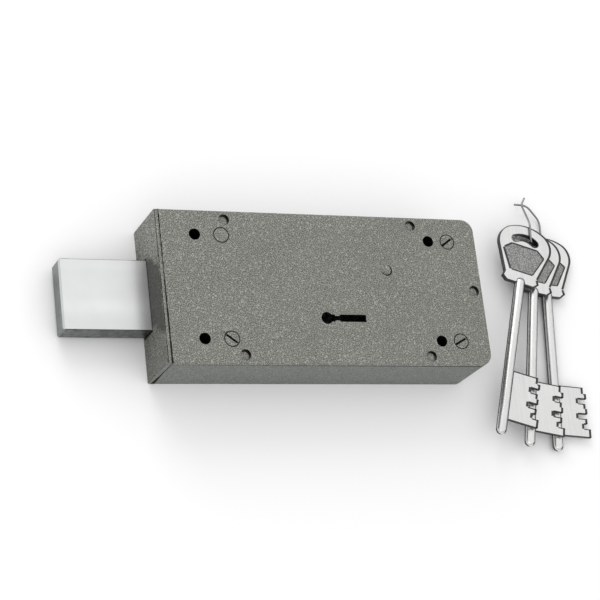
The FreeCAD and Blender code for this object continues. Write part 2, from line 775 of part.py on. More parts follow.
def make_bolt_pins():
    """The stump that the levers gate, and the rivets that join the tail to the bolt."""
    tenon = rod("stump_tenon", STUMP_X, PIVOT_Y, BOLT_FLOOR, "rivet_diameter / 2", "tail_thickness * 2")
    height = f"{ROOF} - stump_headroom - {TAIL_TOP}"
    barrel = rod("stump_barrel", STUMP_X, PIVOT_Y, TAIL_TOP, STUMP_RADIUS, height)
    keep(fuse("bolt_stump", [tenon, barrel]), "bolt_stump")
    for i, y in enumerate(RIVET_ROWS, start=1):
        rivet = rod(f"bolt_rivet_{i}", RIVET_X, y, BOLT_FLOOR, "rivet_diameter / 2", "bolt_thickness")
        keep(rivet, f"bolt_rivet_{i}")


def pocket_half_heights(throws):
    """How far a lever's pocket reaches above and below the gate line at a stump position."""
    away = f"({PIVOT_X} - {STUMP_X} - {throws} * bolt_throw)"
    rise = f"({STUMP_RADIUS} + pocket_gap + {away} * sin({DROP}))"
    fall = f"({STUMP_RADIUS} + pocket_gap + {away} * sin(lever_overlift * 1 deg))"
    return rise, fall


LEVER_LEFT = f"({STUMP_X} - {STUMP_RADIUS} - pocket_gap - lever_rim)"
LEVER_TOP = f"({PIVOT_Y} + {pocket_half_heights(0)[0]} + lever_rim)"
LEVER_LOW = f"({PIVOT_Y} - {pocket_half_heights(0)[1]} - lever_rim)"
SPRING_X = f"({PIVOT_X} - spring_inset)"


def lever_outline():
    """A lever with its gate on the stump's line: eye, bar, belly and a notch for its spring."""
    foot = f"({KEY_Y} + belly_foot_radius)"
    spring_gap = "thread_gap"
    near, far = f"({SPRING_X} - {spring_gap})", f"({SPRING_X} + spring_strip + {spring_gap})"
    root = f"({LEVER_TOP} - spring_root)"
    return [
        (LEVER_LEFT, LEVER_LOW),
        (f"{KEY_X} - belly_half_width - belly_flare", LEVER_LOW),
        (f"{KEY_X} - belly_half_width", foot),
        (f"{KEY_X} + belly_half_width", foot),
        (f"{KEY_X} + belly_half_width + belly_flare", LEVER_LOW),
        (PIVOT_X, f"{PIVOT_Y} - lever_eye_radius", "lever_eye_radius", 1),
        (f"{PIVOT_X} + lever_eye_radius", PIVOT_Y, "lever_eye_radius", 1),
        (PIVOT_X, f"{PIVOT_Y} + lever_eye_radius"),
        (f"{SPRING_X} + lever_rim * 2", LEVER_TOP),
        (far, LEVER_TOP),
        (far, root),
        (near, root),
        (near, LEVER_TOP),
        (LEVER_LEFT, LEVER_TOP),
    ]


def lever_window():
    """Pockets for the stump thrown, half thrown and drawn back, joined by the gate."""
    gate = f"({STUMP_RADIUS} + gate_gap)"
    below, above = [], []
    for throws in range(3):
        centre = f"({STUMP_X} + {throws} * bolt_throw)"
        rise, fall = pocket_half_heights(throws)
        left = f"({centre} - {STUMP_RADIUS} - pocket_gap)"
        right = f"({centre} + {STUMP_RADIUS} + pocket_gap)"
        floor, roof = f"({PIVOT_Y} - {fall})", f"({PIVOT_Y} + {rise})"
        gate_low, gate_high = f"({PIVOT_Y} - {gate})", f"({PIVOT_Y} + {gate})"
        below += [(left, gate_low), (left, floor), (right, floor), (right, gate_low)]
        above += [(left, gate_high), (left, roof), (right, roof), (right, gate_high)]
    return below[1:-1] + above[-2:0:-1]


def make_levers():
    """Eight levers from one blank. Only the arch of the belly differs, one step each."""
    for i, step in enumerate(STEPS):
        name = f"lever_{i + 1}"
        body = new_body(name)
        outline = new_sketch(body, f"{name}_outline", lever_level(i))
        draw_outline(outline, lever_outline())
        pad(body, outline, "lever_thickness")
        top = f"({lever_level(i)} + lever_thickness)"
        window = new_sketch(body, f"{name}_window", top)
        draw_outline(window, lever_window())
        draw_circle(window, PIVOT_X, PIVOT_Y, "post_diameter / 2 + lever_bore_gap")
        pocket(body, window, "lever_thickness * 2")
        arch = new_sketch(body, f"{name}_arch", top)
        draw_circle(arch, KEY_X, KEY_Y, f"{step} + belly_gap")
        pocket(body, arch, "lever_thickness * 2")


def make_lever_springs():
    """A bent strip in each lever's notch, bearing up under the spring post."""
    root = f"({LEVER_TOP} - spring_root)"
    elbow = f"({LEVER_TOP} + spring_leg)"
    post_x, post_y = SPRING_POST
    under = f"({post_y} - spring_post_diameter / 2)"
    tip_x = f"({post_x} - spring_overhang)"
    for i in range(LEVER_COUNT):
        name = f"lever_spring_{i + 1}"
        body = new_body(name)
        strip = new_sketch(body, f"{name}_strip", lever_level(i))
        draw_outline(
            strip,
            [
                (SPRING_X, root),
                (f"{SPRING_X} + spring_strip", root),
                (f"{SPRING_X} + spring_strip", f"{elbow} + spring_strip"),
                (post_x, under),
                (tip_x, under),
                (tip_x, f"{under} - spring_strip"),
                (post_x, f"{under} - spring_strip"),
                (SPRING_X, elbow),
            ],
        )
        pad(body, strip, "lever_thickness")


# A key lies flat with its shank along -Y and its bit towards +X. Its origin is the point of the
# bow's slot that is on the shank's axis.
BOW_TOP = "bow_slot_depth"
BOW_FOOT = "(bow_slot_depth - bow_height)"
BIT_FLOOR = "(back_thickness + bit_end_gap)"
BIT_LENGTH = f"({ROOF} - bit_end_gap - {BIT_FLOOR})"
BIT_LOW = f"({BOW_FOOT} - stem_length - {BIT_LENGTH})"
TIP_END = f"({BIT_LOW} - tip_length)"


def bow_outline():
    """A round-topped bow that tapers to a flared foot."""
    side = [
        ("bow_foot_width / 2", BOW_FOOT),
        ("bow_flare_width / 2", f"{BOW_FOOT} + bow_flare_rise"),
        ("bow_waist_width / 2", f"{BOW_FOOT} + bow_waist_rise"),
        ("bow_width / 2", f"{BOW_TOP} - bow_shoulder_drop"),
        ("bow_crown_width / 2", f"{BOW_TOP} - bow_crown_drop"),
    ]
    shoulder = ("bow_shoulder_radius", 1)
    right = side[:3] + [side[3] + shoulder, side[4] + ("bow_crown_radius", 1)]
    left = [(f"0 - {x}", y) for x, y in reversed(side)]
    left[0] = left[0] + shoulder
    return right + left


def bow_slot():
    """The bean-shaped slot that the wire runs through."""
    half = "(bow_slot_width / 2)"
    angle = "(bow_slot_half_angle * 1 deg)"
    outer, inner = f"(bow_slot_radius + {half})", f"(bow_slot_radius - {half})"
    corners = []
    for side, first, second in ((1, inner, outer), (-1, outer, inner)):
        cap_x = f"{side} * (bow_slot_radius * sin({angle}) + {half} * cos({angle}))"
        cap_y = f"bow_slot_radius * cos({angle}) - {half} * sin({angle}) - bow_slot_radius"
        ends = [
            (f"{side} * {radius} * sin({angle})", f"{radius} * cos({angle}) - bow_slot_radius")
            for radius in (first, second)
        ]
        corners.append(ends[0] + (half, 1))
        corners.append((cap_x, cap_y, half, 1))
        corners.append(ends[1] + (second, side))
    return corners


def panel_outline():
    """The sunk panel in each face of the bow."""
    side = [
        ("panel_foot_width / 2", f"{BOW_FOOT} + panel_foot_rise"),
        ("panel_width / 2", f"{BOW_TOP} - panel_shoulder_drop"),
        ("panel_top_width / 2", f"{BOW_TOP} - panel_top_drop"),
    ]
    return side + [(f"0 - {x}", y) for x, y in reversed(side)]


def bit_outline():
    """The bit from the shank's axis out, stepped once for the bolt and once for each lever."""
    land = f"({LEVER_FLOOR} - {LEVER_AIR} / 2 - {BIT_FLOOR})"
    corners = [("0", BIT_LOW), ("bit_reach", BIT_LOW)]
    level = f"({BIT_LOW} + {land})"
    corners.append(("bit_reach", level))
    for i, step in enumerate(STEPS):
        corners.append((step, level))
        level = f"({BIT_LOW} + {land} + {i + 1} * {LEVER_PITCH})"
        if i + 1 == LEVER_COUNT:
            level = f"({BIT_LOW} + {BIT_LENGTH})"
        corners.append((step, level))
    corners.append(("0", level))
    return corners


def make_keys():
    """Three keys fanned on the wire and lying on each other, the right-hand one lowest."""
    fan = ((1, 2), (0, 1), (-1, 0))
    for i, (side, layer) in enumerate(fan, start=1):
        name = f"key_{i}"
        body = new_body(name)
        bow = new_sketch(body, f"{name}_bow")
        draw_outline(bow, bow_outline())
        draw_outline(bow, bow_slot())
        pad(body, bow, "bow_thickness", both_ways=True)
        for face, turned_over in (("front", False), ("back", True)):
            level = f"{'0 - ' if turned_over else ''}(bow_thickness / 2 - panel_depth)"
            panel = new_sketch(body, f"{name}_{face}_panel", level)
            draw_outline(panel, panel_outline())
            sunk = pocket(body, panel, "panel_depth * 2")
            sunk.Reversed = not turned_over
        shank = new_sketch(body, f"{name}_shank")
        radius = "(shank_diameter / 2)"
        draw_outline(
            shank,
            [
                ("0", TIP_END, radius, 1),
                (radius, f"{TIP_END} + {radius}"),
                (radius, f"{BOW_FOOT} + bow_root - {radius}", radius, 1),
                ("0", f"{BOW_FOOT} + bow_root"),
            ],
        )
        turned = body.newObject("PartDesign::Revolution", f"{name}_turned")
        turned.Profile = shank
        turned.ReferenceAxis = (shank, ["V_Axis"])
        turned.Angle = 360
        bit = new_sketch(body, f"{name}_bit")
        draw_outline(bit, bit_outline())
        pad(body, bit, "bit_thickness", both_ways=True)
        angle = f"((0 - fan_angle - {side} * fan_step) * 1 deg)"
        slide = f"({side} * hang_angle * 1 deg)"
        hang_x = f"(bow_slot_radius * sin({slide}))"
        hang_y = f"(bow_slot_radius * cos({slide}) - bow_slot_radius)"
        crossing_x = f"{RING_X} - {side} * wire_lean * cos(fan_angle * 1 deg)"
        crossing_y = f"{RING_Y} + {side} * wire_lean * sin(fan_angle * 1 deg)"
        put(
            body,
            f"{crossing_x} - {hang_x} * cos({angle}) + {hang_y} * sin({angle})",
            f"{crossing_y} - {hang_x} * sin({angle}) - {hang_y} * cos({angle})",
            f"{KEY_FLOOR} + {layer} * {KEY_LAYER}",
        )
        body.setExpression("Placement.Rotation.Angle", bound(angle))


RING_X = f"({RIGHT} + keys_beside)"
RING_Y = "keys_above_centre"
KEY_FLOOR = "(shank_diameter / 2 + key_lay_gap / 2)"
KEY_LAYER = "(shank_diameter / 2 + bow_thickness / 2 + key_lay_gap)"


def rounded_path(points, bends):
    """Straight runs joined by tangent arcs, one radius a corner, shortened where a run is short."""
    edges = []
    last = points[0]
    for before, corner, after, bend in zip(points, points[1:], points[2:], bends):
        into = (before - corner).normalize()
        out = (after - corner).normalize()
        half = into.getAngle(out) / 2
        room = 0.45 * min((before - corner).Length, (after - corner).Length)
        reach = min(bend / math.tan(half), room)
        radius = reach * math.tan(half)
        start, end = corner + into * reach, corner + out * reach
        bisector = (into + out).normalize()
        middle = corner + bisector * (radius / math.sin(half) - radius)
        edges.append(Part.LineSegment(last, start).toShape())
        edges.append(Part.Arc(start, middle, end).toShape())
        last = end
    edges.append(Part.LineSegment(last, points[-1]).toShape())
    return Part.Wire(edges)


def make_key_wire():
    """A loop of wire through the three bows, its two ends crossed beyond them."""
    turn = math.radians(number("fan_angle"))
    ring = FreeCAD.Vector(number(RING_X), number(RING_Y), 0)
    up = FreeCAD.Vector(math.sin(turn), math.cos(turn), 0)
    right = FreeCAD.Vector(math.cos(turn), -math.sin(turn), 0)
    wire = number("wire_diameter")
    clear = "(bow_thickness / 2 + wire_diameter / 2)"
    over = number(f"{KEY_FLOOR} + 2 * {KEY_LAYER} + {clear} + key_lay_gap * 3")
    under = number(f"{KEY_FLOOR} - {clear} - key_lay_gap * 2")
    rim = number("bow_slot_depth")
    reach, tail = number("loop_reach"), number("loop_tail")
    apex, bulge = number("loop_apex"), number("loop_bulge")
    low = number("loop_lift")
    high = low + wire * 1.5
    lean = number("wire_lean") * (over - under) / (2 * number(KEY_LAYER))
    tight, wide = number("wire_bend"), number("loop_bend")
    # Each row is a distance towards the bows' tops, one to the right, a height and a bend.
    route = (
        (rim + reach + tail, tail / 2 - apex, high, 0),
        (rim + reach - wire, -apex, high, wide),
        (rim + tail, -lean - wire, over, wide),
        (0, -lean, over, tight),
        (0, lean, under, tight),
        (rim + tail, bulge, under, wide),
        (rim + reach * 0.65, bulge * 0.8, under + wire, wide),
        (rim + reach, -apex / 2, low, wide),
        (rim + reach - wire, -apex - tail, low, 0),
    )
    points = [ring + up * u + right * r + FreeCAD.Vector(0, 0, z) for u, r, z, bend in route]
    path = rounded_path(points, [bend for u, r, z, bend in route[1:-1]])
    start = (points[1] - points[0]).normalize()
    section = Part.Wire(Part.Circle(points[0], start, wire / 2).toShape())
    item = doc.addObject("Part::Feature", "key_wire")
    item.Shape = path.makePipeShell([section], True, False)
    keep(item, "key_wire")
    swept_length = item.Shape.Volume / (math.pi * wire**2 / 4)
    print(f"key wire {path.Length:.1f} mm long, {swept_length:.1f} mm by its volume")


make_case_body()
make_forend_plate()
make_cover_plate()
make_cover_screws()
make_sleeves()
make_pegs()
make_lever_post()
make_inner_posts()
make_washers()
make_bolt_guides()
make_bolt_head()
make_bolt_tail()
make_bolt_pins()
make_levers()
make_lever_springs()
make_keys()
make_key_wire()
doc.recompute()

for item in doc.Objects:
    if "Invalid" in item.State or "Error" in item.State:
        raise RuntimeError(f"{item.Label} failed: {item.State}")
    if item.TypeId == "PartDesign::Pocket" and item.Shape.Volume > item.BaseFeature.Shape.Volume - 1e-6:
        raise RuntimeError(f"{item.Label} cuts nothing")
for item in subparts:
    if item.Shape.isNull() or not item.Shape.isValid() or not item.Shape.Solids:
        raise RuntimeError(f"{item.Label} has no valid solid")

os.makedirs("parts", exist_ok=True)
for item in subparts:
    item.Shape.exportStep(f"parts/{item.Label}.step")
print(f"{len(subparts)} pieces written")
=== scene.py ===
import json
import math

import bmesh
import bpy
from mathutils import Matrix, Vector


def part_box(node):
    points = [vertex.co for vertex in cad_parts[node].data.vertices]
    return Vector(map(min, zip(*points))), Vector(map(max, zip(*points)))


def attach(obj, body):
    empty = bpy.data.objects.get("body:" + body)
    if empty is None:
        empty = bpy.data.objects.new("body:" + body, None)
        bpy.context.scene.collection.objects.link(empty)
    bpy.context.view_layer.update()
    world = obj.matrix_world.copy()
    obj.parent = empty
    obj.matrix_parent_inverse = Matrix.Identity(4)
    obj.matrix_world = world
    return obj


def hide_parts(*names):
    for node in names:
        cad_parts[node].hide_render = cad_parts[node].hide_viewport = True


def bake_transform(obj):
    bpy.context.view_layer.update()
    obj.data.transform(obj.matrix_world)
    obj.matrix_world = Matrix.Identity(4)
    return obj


# The looks of the shutter lock: hammered grey enamel, a bright bolt, and nickel keys.
# Lengths are in metres. +Z is out of the cover and the bolt is thrown along -X.

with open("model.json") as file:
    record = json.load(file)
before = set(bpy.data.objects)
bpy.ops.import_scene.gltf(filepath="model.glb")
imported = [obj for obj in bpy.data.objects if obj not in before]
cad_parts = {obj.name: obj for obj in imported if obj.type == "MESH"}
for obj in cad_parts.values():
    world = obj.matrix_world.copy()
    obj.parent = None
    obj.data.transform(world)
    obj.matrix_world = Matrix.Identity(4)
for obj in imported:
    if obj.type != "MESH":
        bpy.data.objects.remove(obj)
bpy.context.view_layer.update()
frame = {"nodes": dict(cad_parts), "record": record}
NODES = frame["nodes"]
BODIES = frame["record"]["behaviour"]["bodies"]
BODY_OF = {node: body for body, members in BODIES.items() for node in members}
MM = 0.001
CORNER = 7.5 * MM             # radius of the case's two rounded corners
SKIN = 0.03 * MM              # how far the lines of shade on the case stand off its surface


# Objects

def add_object(name, data):
    item = bpy.data.objects.new(name, data)
    bpy.context.collection.objects.link(item)
    return item


def add_mesh(name, points, faces, material):
    mesh = bpy.data.meshes.new(name)
    mesh.from_pydata([tuple(point) for point in points], [], faces)
    mesh.materials.append(material)
    return add_object(name, mesh)


def add_overlay(name, points, faces, material, body):
    """A flat piece of shade or paint that lies on a body's surface and moves with it."""
    item = add_mesh(name, points, faces, material)
    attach(item, body)


def axis_of(node):
    """The place of an upright round node's axis in X and Y."""
    low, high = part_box(node)
    return (low.x + high.x) / 2, (low.y + high.y) / 2


def clamp(value):
    return max(0.0, min(1.0, value))


# Nodes

LOW, HIGH = 0.3, 0.7          # nearly all of a noise lies between these
MIX_FACTOR, MIX_A, MIX_B, MIX_RESULT = 0, 6, 7, 2      # a Mix node's sockets for colours


def new_material(name):
    material = bpy.data.materials.new(name)
    material.use_nodes = True
    return material, material.node_tree, material.node_tree.nodes["Principled BSDF"]


def set_inputs(node, **values):
    """Sets inputs by name, with an underscore for each space."""
    for name, value in values.items():
        node.inputs[name.replace("_", " ")].default_value = value


def feed(tree, socket, value):
    """Sets a number or an RGB colour on a socket, or links another node's output to it."""
    if isinstance(value, (int, float)):
        socket.default_value = value
    elif isinstance(value, tuple):
        socket.default_value = (*value, 1)
    else:
        tree.links.new(value, socket)


def position(tree, scale=(1, 1, 1)):
    """The surface's place in the frame, in metres, stretched by the scale."""
    where = tree.nodes.new("ShaderNodeNewGeometry")
    mapping = tree.nodes.new("ShaderNodeMapping")
    set_inputs(mapping, Scale=scale)
    tree.links.new(where.outputs["Position"], mapping.inputs["Vector"])
    return mapping.outputs["Vector"]


def noise(tree, vector, scale, detail, roughness):
    item = tree.nodes.new("ShaderNodeTexNoise")
    set_inputs(item, Scale=scale, Detail=detail, Roughness=roughness)
    tree.links.new(vector, item.inputs["Vector"])
    return item.outputs["Fac"]


def cells(tree, vector, scale, randomness):
    item = tree.nodes.new("ShaderNodeTexVoronoi")
    set_inputs(item, Scale=scale, Randomness=randomness)
    tree.links.new(vector, item.inputs["Vector"])
    return item.outputs


def ramp(tree, value, stops):
    """A number or colour looked up along a row of (place, number or colour) stops."""
    item = tree.nodes.new("ShaderNodeValToRGB")
    elements = item.color_ramp.elements
    while len(elements) < len(stops):
        elements.new(0.5)
    for element, (place, level) in zip(elements, stops):
        element.position = place
        element.color = (*level, 1) if isinstance(level, tuple) else (level, level, level, 1)
    tree.links.new(value, item.inputs["Fac"])
    return item.outputs["Color"]


def maths(tree, operation, *values):
    item = tree.nodes.new("ShaderNodeMath")
    item.operation = operation
    for socket, value in zip(item.inputs, values):
        feed(tree, socket, value)
    return item.outputs[0]


def vector_maths(tree, operation, vector, constant):
    item = tree.nodes.new("ShaderNodeVectorMath")
    item.operation = operation
    item.inputs[1].default_value = constant
    tree.links.new(vector, item.inputs[0])
    return item.outputs[0]


def mix_colour(tree, factor, a, b, blend="MIX"):
    item = tree.nodes.new("ShaderNodeMix")
    item.data_type = "RGBA"
    item.blend_type = blend
    for place, value in ((MIX_FACTOR, factor), (MIX_A, a), (MIX_B, b)):
        feed(tree, item.inputs[place], value)
    return item.outputs[MIX_RESULT]


def multiply(tree, colour, shade):
    return mix_colour(tree, 1.0, colour, shade, "MULTIPLY")


def bump(tree, shader, height, distance, strength):
    item = tree.nodes.new("ShaderNodeBump")
    set_inputs(item, Strength=strength, Distance=distance)
    tree.links.new(height, item.inputs["Height"])
    tree.links.new(item.outputs["Normal"], shader.inputs["Normal"])


def toned(colour, share):
    return tuple(c * share for c in colour)


# Materials. Each SCALE is in cells to the metre.

FLAKE_SCALE, GRAIN_SCALE, CLOUD_SCALE = 1700.0, 2000.0, 28.0
GRAIN_STOPS = [(0.42, 0.0), (0.5, 0.4), (0.58, 1.0)]
FLAKE_STOPS = [(0.0, 0.0), (0.82, 0.0), (1.0, 0.53)]   # only the few topmost flakes sparkle
CLOUD_STOPS = [(LOW, 0.94), (HIGH, 1.04)]
ROUGH_STOPS = [(LOW, 0.62), (HIGH, 0.48)]
PIT_TONE = 0.22               # the pits between grains, as a share of the base colour
SPARKLE_TONE = 1.8            # the sparkle, as a share of the flecks' colour
FLAKE_HEIGHT = 0.5            # the flakes' share in the relief

# Painted shade on the forend's face above the bolt, where the bolt blocks light
BOLT_SHADE_CENTRE = (-0.096, 0.0, 0.022)
BOLT_SHADE_REACH = (1, 0.0235, 0.0225)                     # half its size along each axis
BOLT_SHADE_LEAN = 0.356           # how far its sides shift along Y as they rise
BOLT_SHADE_TINT = (0.17, 0.167, 0.153)
BOLT_SHADE_SCALE = 130.0
BOLT_SHADE_WANDER = 0.9           # how far its ragged edge strays, in reaches
BOLT_SHADE_EDGE = 0.78            # where it starts to fade, in reaches
FOREND_FADE = [(0.0, 0.6), (0.6, 1.0)]                 # darker on its lower side
FADE_SLOPE, FADE_MIDDLE = 0.25, 0.5                    # from reaches to places on that fade


def painted_bolt_shade(tree, where, colour):
    """The colour, darker toward the forend's lower side, with painted shade over it where the
    bolt blocks light, in a leaning square with a ragged edge.
    """
    offset = vector_maths(tree, "SUBTRACT", where, BOLT_SHADE_CENTRE)
    scaled = vector_maths(tree, "MULTIPLY", offset, tuple(1 / r for r in BOLT_SHADE_REACH))
    split = tree.nodes.new("ShaderNodeSeparateXYZ")
    tree.links.new(scaled, split.inputs[0])
    lean = maths(tree, "MULTIPLY", split.outputs["Z"], BOLT_SHADE_LEAN)
    across = maths(tree, "ADD", split.outputs["Y"], lean)
    far = maths(tree, "MAXIMUM", maths(tree, "ABSOLUTE", across),
                maths(tree, "ABSOLUTE", split.outputs["Z"]))
    ragged = noise(tree, where, BOLT_SHADE_SCALE, detail=5.0, roughness=0.65)
    wander = maths(tree, "MULTIPLY_ADD", ragged, BOLT_SHADE_WANDER, -BOLT_SHADE_WANDER / 2)
    edge = maths(tree, "ADD", far, wander)
    along = maths(tree, "MULTIPLY_ADD", across, FADE_SLOPE, FADE_MIDDLE)
    colour = multiply(tree, colour, ramp(tree, along, FOREND_FADE))
    mask = ramp(tree, edge, [(BOLT_SHADE_EDGE, BOLT_SHADE_TINT), (1.0, 1.0)])
    return multiply(tree, colour, mask)


def hammer_paint(name, base, fleck, fleck_share, grain_size=1.0, bolt_shaded=False):
    """Grey enamel with fine pale flecks over a finely pebbled surface. The grain's size is
    relative to the cover's."""
    material, tree, shader = new_material(name)
    where = position(tree)
    flakes = cells(tree, where, FLAKE_SCALE / grain_size, randomness=1.0)
    flake = tree.nodes.new("ShaderNodeSeparateColor")
    tree.links.new(flakes["Color"], flake.inputs[0])
    grain = noise(tree, where, GRAIN_SCALE / grain_size, detail=2.0, roughness=0.7)
    cloud = noise(tree, where, CLOUD_SCALE, detail=3.0, roughness=0.55)
    tone = mix_colour(tree, ramp(tree, grain, GRAIN_STOPS), toned(base, PIT_TONE), fleck)
    sparkle = ramp(tree, flake.outputs[0], FLAKE_STOPS)
    tone = mix_colour(tree, sparkle, tone, toned(fleck, SPARKLE_TONE))
    colour = mix_colour(tree, fleck_share, base, tone)
    colour = multiply(tree, colour, ramp(tree, cloud, CLOUD_STOPS))
    # painted shade where the bolt blocks light
    if bolt_shaded:
        colour = painted_bolt_shade(tree, where, colour)
    feed(tree, shader.inputs["Base Color"], colour)
    feed(tree, shader.inputs["Roughness"], ramp(tree, grain, ROUGH_STOPS))
    set_inputs(shader, Specular_IOR_Level=0.4)
    flake_height = maths(tree, "MULTIPLY", flakes["Distance"], FLAKE_HEIGHT)
    relief = maths(tree, "ADD", flake_height, grain)
    bump(tree, shader, relief, distance=0.2 * MM, strength=0.45)
    return material


MARK_SCALE_ACROSS, MARK_SCALE_ALONG = 1400.0, 14.0
BAND_SCALES = (2, 75, 2)      # broad bands that lie side by side along Y
BAND_LOW, BAND_HIGH = 0.35, 0.65                       # they fade between these in their noise


def brushed(name, colour, along, rough=(0.24, 0.38), grain=0.25, spread=0.88, bands=0.0,
            metal=1.0, cloud_scale=60.0, cloud_tone=0.94):
    """Plated or plain steel with fine grinding marks that run along one axis, over soft clouds
    and bands. Roughness is a number, or the smoothest and the roughest in the marks. Grain is
    the marks' relief and spread their darkest tone."""
    material, tree, shader = new_material(name)
    scales = [MARK_SCALE_ACROSS] * 3
    scales["xyz".index(along)] = MARK_SCALE_ALONG
    marks = noise(tree, position(tree, tuple(scales)), scale=1.0, detail=4.0, roughness=0.6)
    cloud = noise(tree, position(tree), cloud_scale, detail=3.0, roughness=0.5)
    tone = ramp(tree, marks, [(LOW, toned(colour, spread)), (HIGH, colour)])
    tone = multiply(tree, tone, ramp(tree, cloud, [(LOW, cloud_tone), (HIGH, 1.0)]))
    if bands:
        rows = noise(tree, position(tree, BAND_SCALES), scale=1.0, detail=1.0, roughness=0.4)
        fade = ramp(tree, rows, [(BAND_LOW, 1.0 - bands), (BAND_HIGH, 1.0)])
        tone = multiply(tree, tone, fade)
    feed(tree, shader.inputs["Base Color"], tone)
    set_inputs(shader, Metallic=metal)
    if isinstance(rough, tuple):
        smoothest, roughest = rough
        rough = ramp(tree, marks, [(LOW, roughest), (HIGH, smoothest)])
    feed(tree, shader.inputs["Roughness"], rough)
    if grain:
        bump(tree, shader, marks, distance=0.05 * MM, strength=grain)
    return material


PEBBLE_TOP, PEBBLE_FOOT = 0.1, 0.6                     # from a pebble's middle, in its cell
PEBBLE_FOOT_TONE, DIRT_TONE, DIRT_LOW = 0.45, 0.5, 0.35


def pebbled(name, colour):
    """The cast panel of a key's bow."""
    material, tree, shader = new_material(name)
    pebbles = cells(tree, position(tree), scale=1100.0, randomness=0.9)["Distance"]
    stops = [(PEBBLE_TOP, colour), (PEBBLE_FOOT, toned(colour, PEBBLE_FOOT_TONE))]
    feed(tree, shader.inputs["Base Color"], ramp(tree, pebbles, stops))
    set_inputs(shader, Metallic=1.0, Roughness=0.42)
    bump(tree, shader, pebbles, distance=0.4 * MM, strength=0.6)
    return material


def dark_line(name, colour):
    """Shade and old paint settled in a seam."""
    material, tree, shader = new_material(name)
    dirt = noise(tree, position(tree), scale=300.0, detail=4.0, roughness=0.6)
    tone = ramp(tree, dirt, [(DIRT_LOW, toned(colour, DIRT_TONE)), (HIGH, colour)])
    feed(tree, shader.inputs["Base Color"], tone)
    set_inputs(shader, Roughness=0.85, Specular_IOR_Level=0.1)
    return material


paint = hammer_paint("grey_hammer_paint", base=(0.162, 0.166, 0.147),
                     fleck=(0.329, 0.337, 0.297), fleck_share=0.95)
side_paint = hammer_paint("grey_paint_sides", base=(0.17, 0.182, 0.166),
                          fleck=(0.24, 0.252, 0.23), fleck_share=0.55, grain_size=1.4)
# The forend's paint carries painted shade above the bolt and darkens toward its lower side.
forend_paint = hammer_paint("grey_paint_forend", base=(0.12, 0.122, 0.108),
                            fleck=(0.34, 0.343, 0.305), fleck_share=1.0, grain_size=1.35,
                            bolt_shaded=True)
zinc = brushed("bolt_zinc", (0.82, 0.835, 0.83), "x", rough=0.3, grain=0.0, spread=0.99,
               bands=0.1, metal=0.8)
# Darker copies of the zinc: painted shade for the bolt's sides, end and long edges
zinc_side_shade = brushed("bolt_zinc_side_shade", (0.27, 0.3, 0.285), "x", rough=(0.3, 0.45), grain=0.4,
                    spread=0.55, cloud_scale=330.0, cloud_tone=0.35)
zinc_end_shade = brushed("bolt_zinc_end_shade", (0.27, 0.295, 0.288), "y", rough=(0.3, 0.45), grain=0.3,
                   spread=0.7, cloud_scale=160.0, cloud_tone=0.6)
steel = brushed("inner_steel", (0.42, 0.42, 0.43), "z")
# Near-black steel: painted shade in the mounting sleeves' bores, on the walls of the cover's
# holes and in the screws' slots
shade_steel = brushed("painted_shade_bore", (0.012, 0.012, 0.012), "z", rough=(0.7, 0.9))
brass = brushed("lever_brass", (0.6, 0.43, 0.17), "x")
spring = brushed("spring_steel", (0.2, 0.2, 0.24), "x")
nickel = brushed("key_nickel", (0.82, 0.82, 0.81), "y", rough=(0.22, 0.34), spread=0.86)
# Near-black nickel: painted shade on the keys' edges, the sides of their shanks and the lines
# round their flats
nickel_shade = brushed("key_nickel_shade", (0.08, 0.08, 0.08), "y", rough=(0.4, 0.6), grain=0.3)
panel = pebbled("key_panel", (0.5, 0.5, 0.49))
wire = brushed("wire_steel", (0.3, 0.3, 0.31), "x", rough=(0.25, 0.4))
seam = dark_line("seam_shade", (0.02, 0.02, 0.017))


# The CAD nodes: each takes the finish of the first row that begins its name, or else steel

CAD_FINISHES = (
    (("cover_", "lever_post"), paint),
    (("case_body", "forend_plate"), side_paint),
    (("bolt_head",), zinc),
    # painted shade in the fixing holes
    (("mounting_sleeve",), shade_steel),
    (("lever_spring",), spring),
    (("lever_rest_pin", "lever_washers"), steel),
    (("lever_",), brass),
    (("key_wire",), wire),
    (("key_",), nickel),
)

for node, item in NODES.items():
    finishes = [finish for beginnings, finish in CAD_FINISHES if node.startswith(beginnings)]
    item.data.materials.clear()
    item.data.materials.append(finishes[0] if finishes else steel)


# Pieces that stand for CAD nodes, with softened edges and a finish on each kind of face

SAME_POINT = 1e-6             # points this close are one point
SAME_PLANE = math.radians(0.5)
SMOOTH_BELOW = math.radians(30)
SOFTEN_ABOVE = math.radians(50)
FLAT_SHADED = 0.999           # faces with this much of their normal along Z stay flat
BY_NEIGHBOUR = -1             # a softened edge takes its finish from the faces beside it


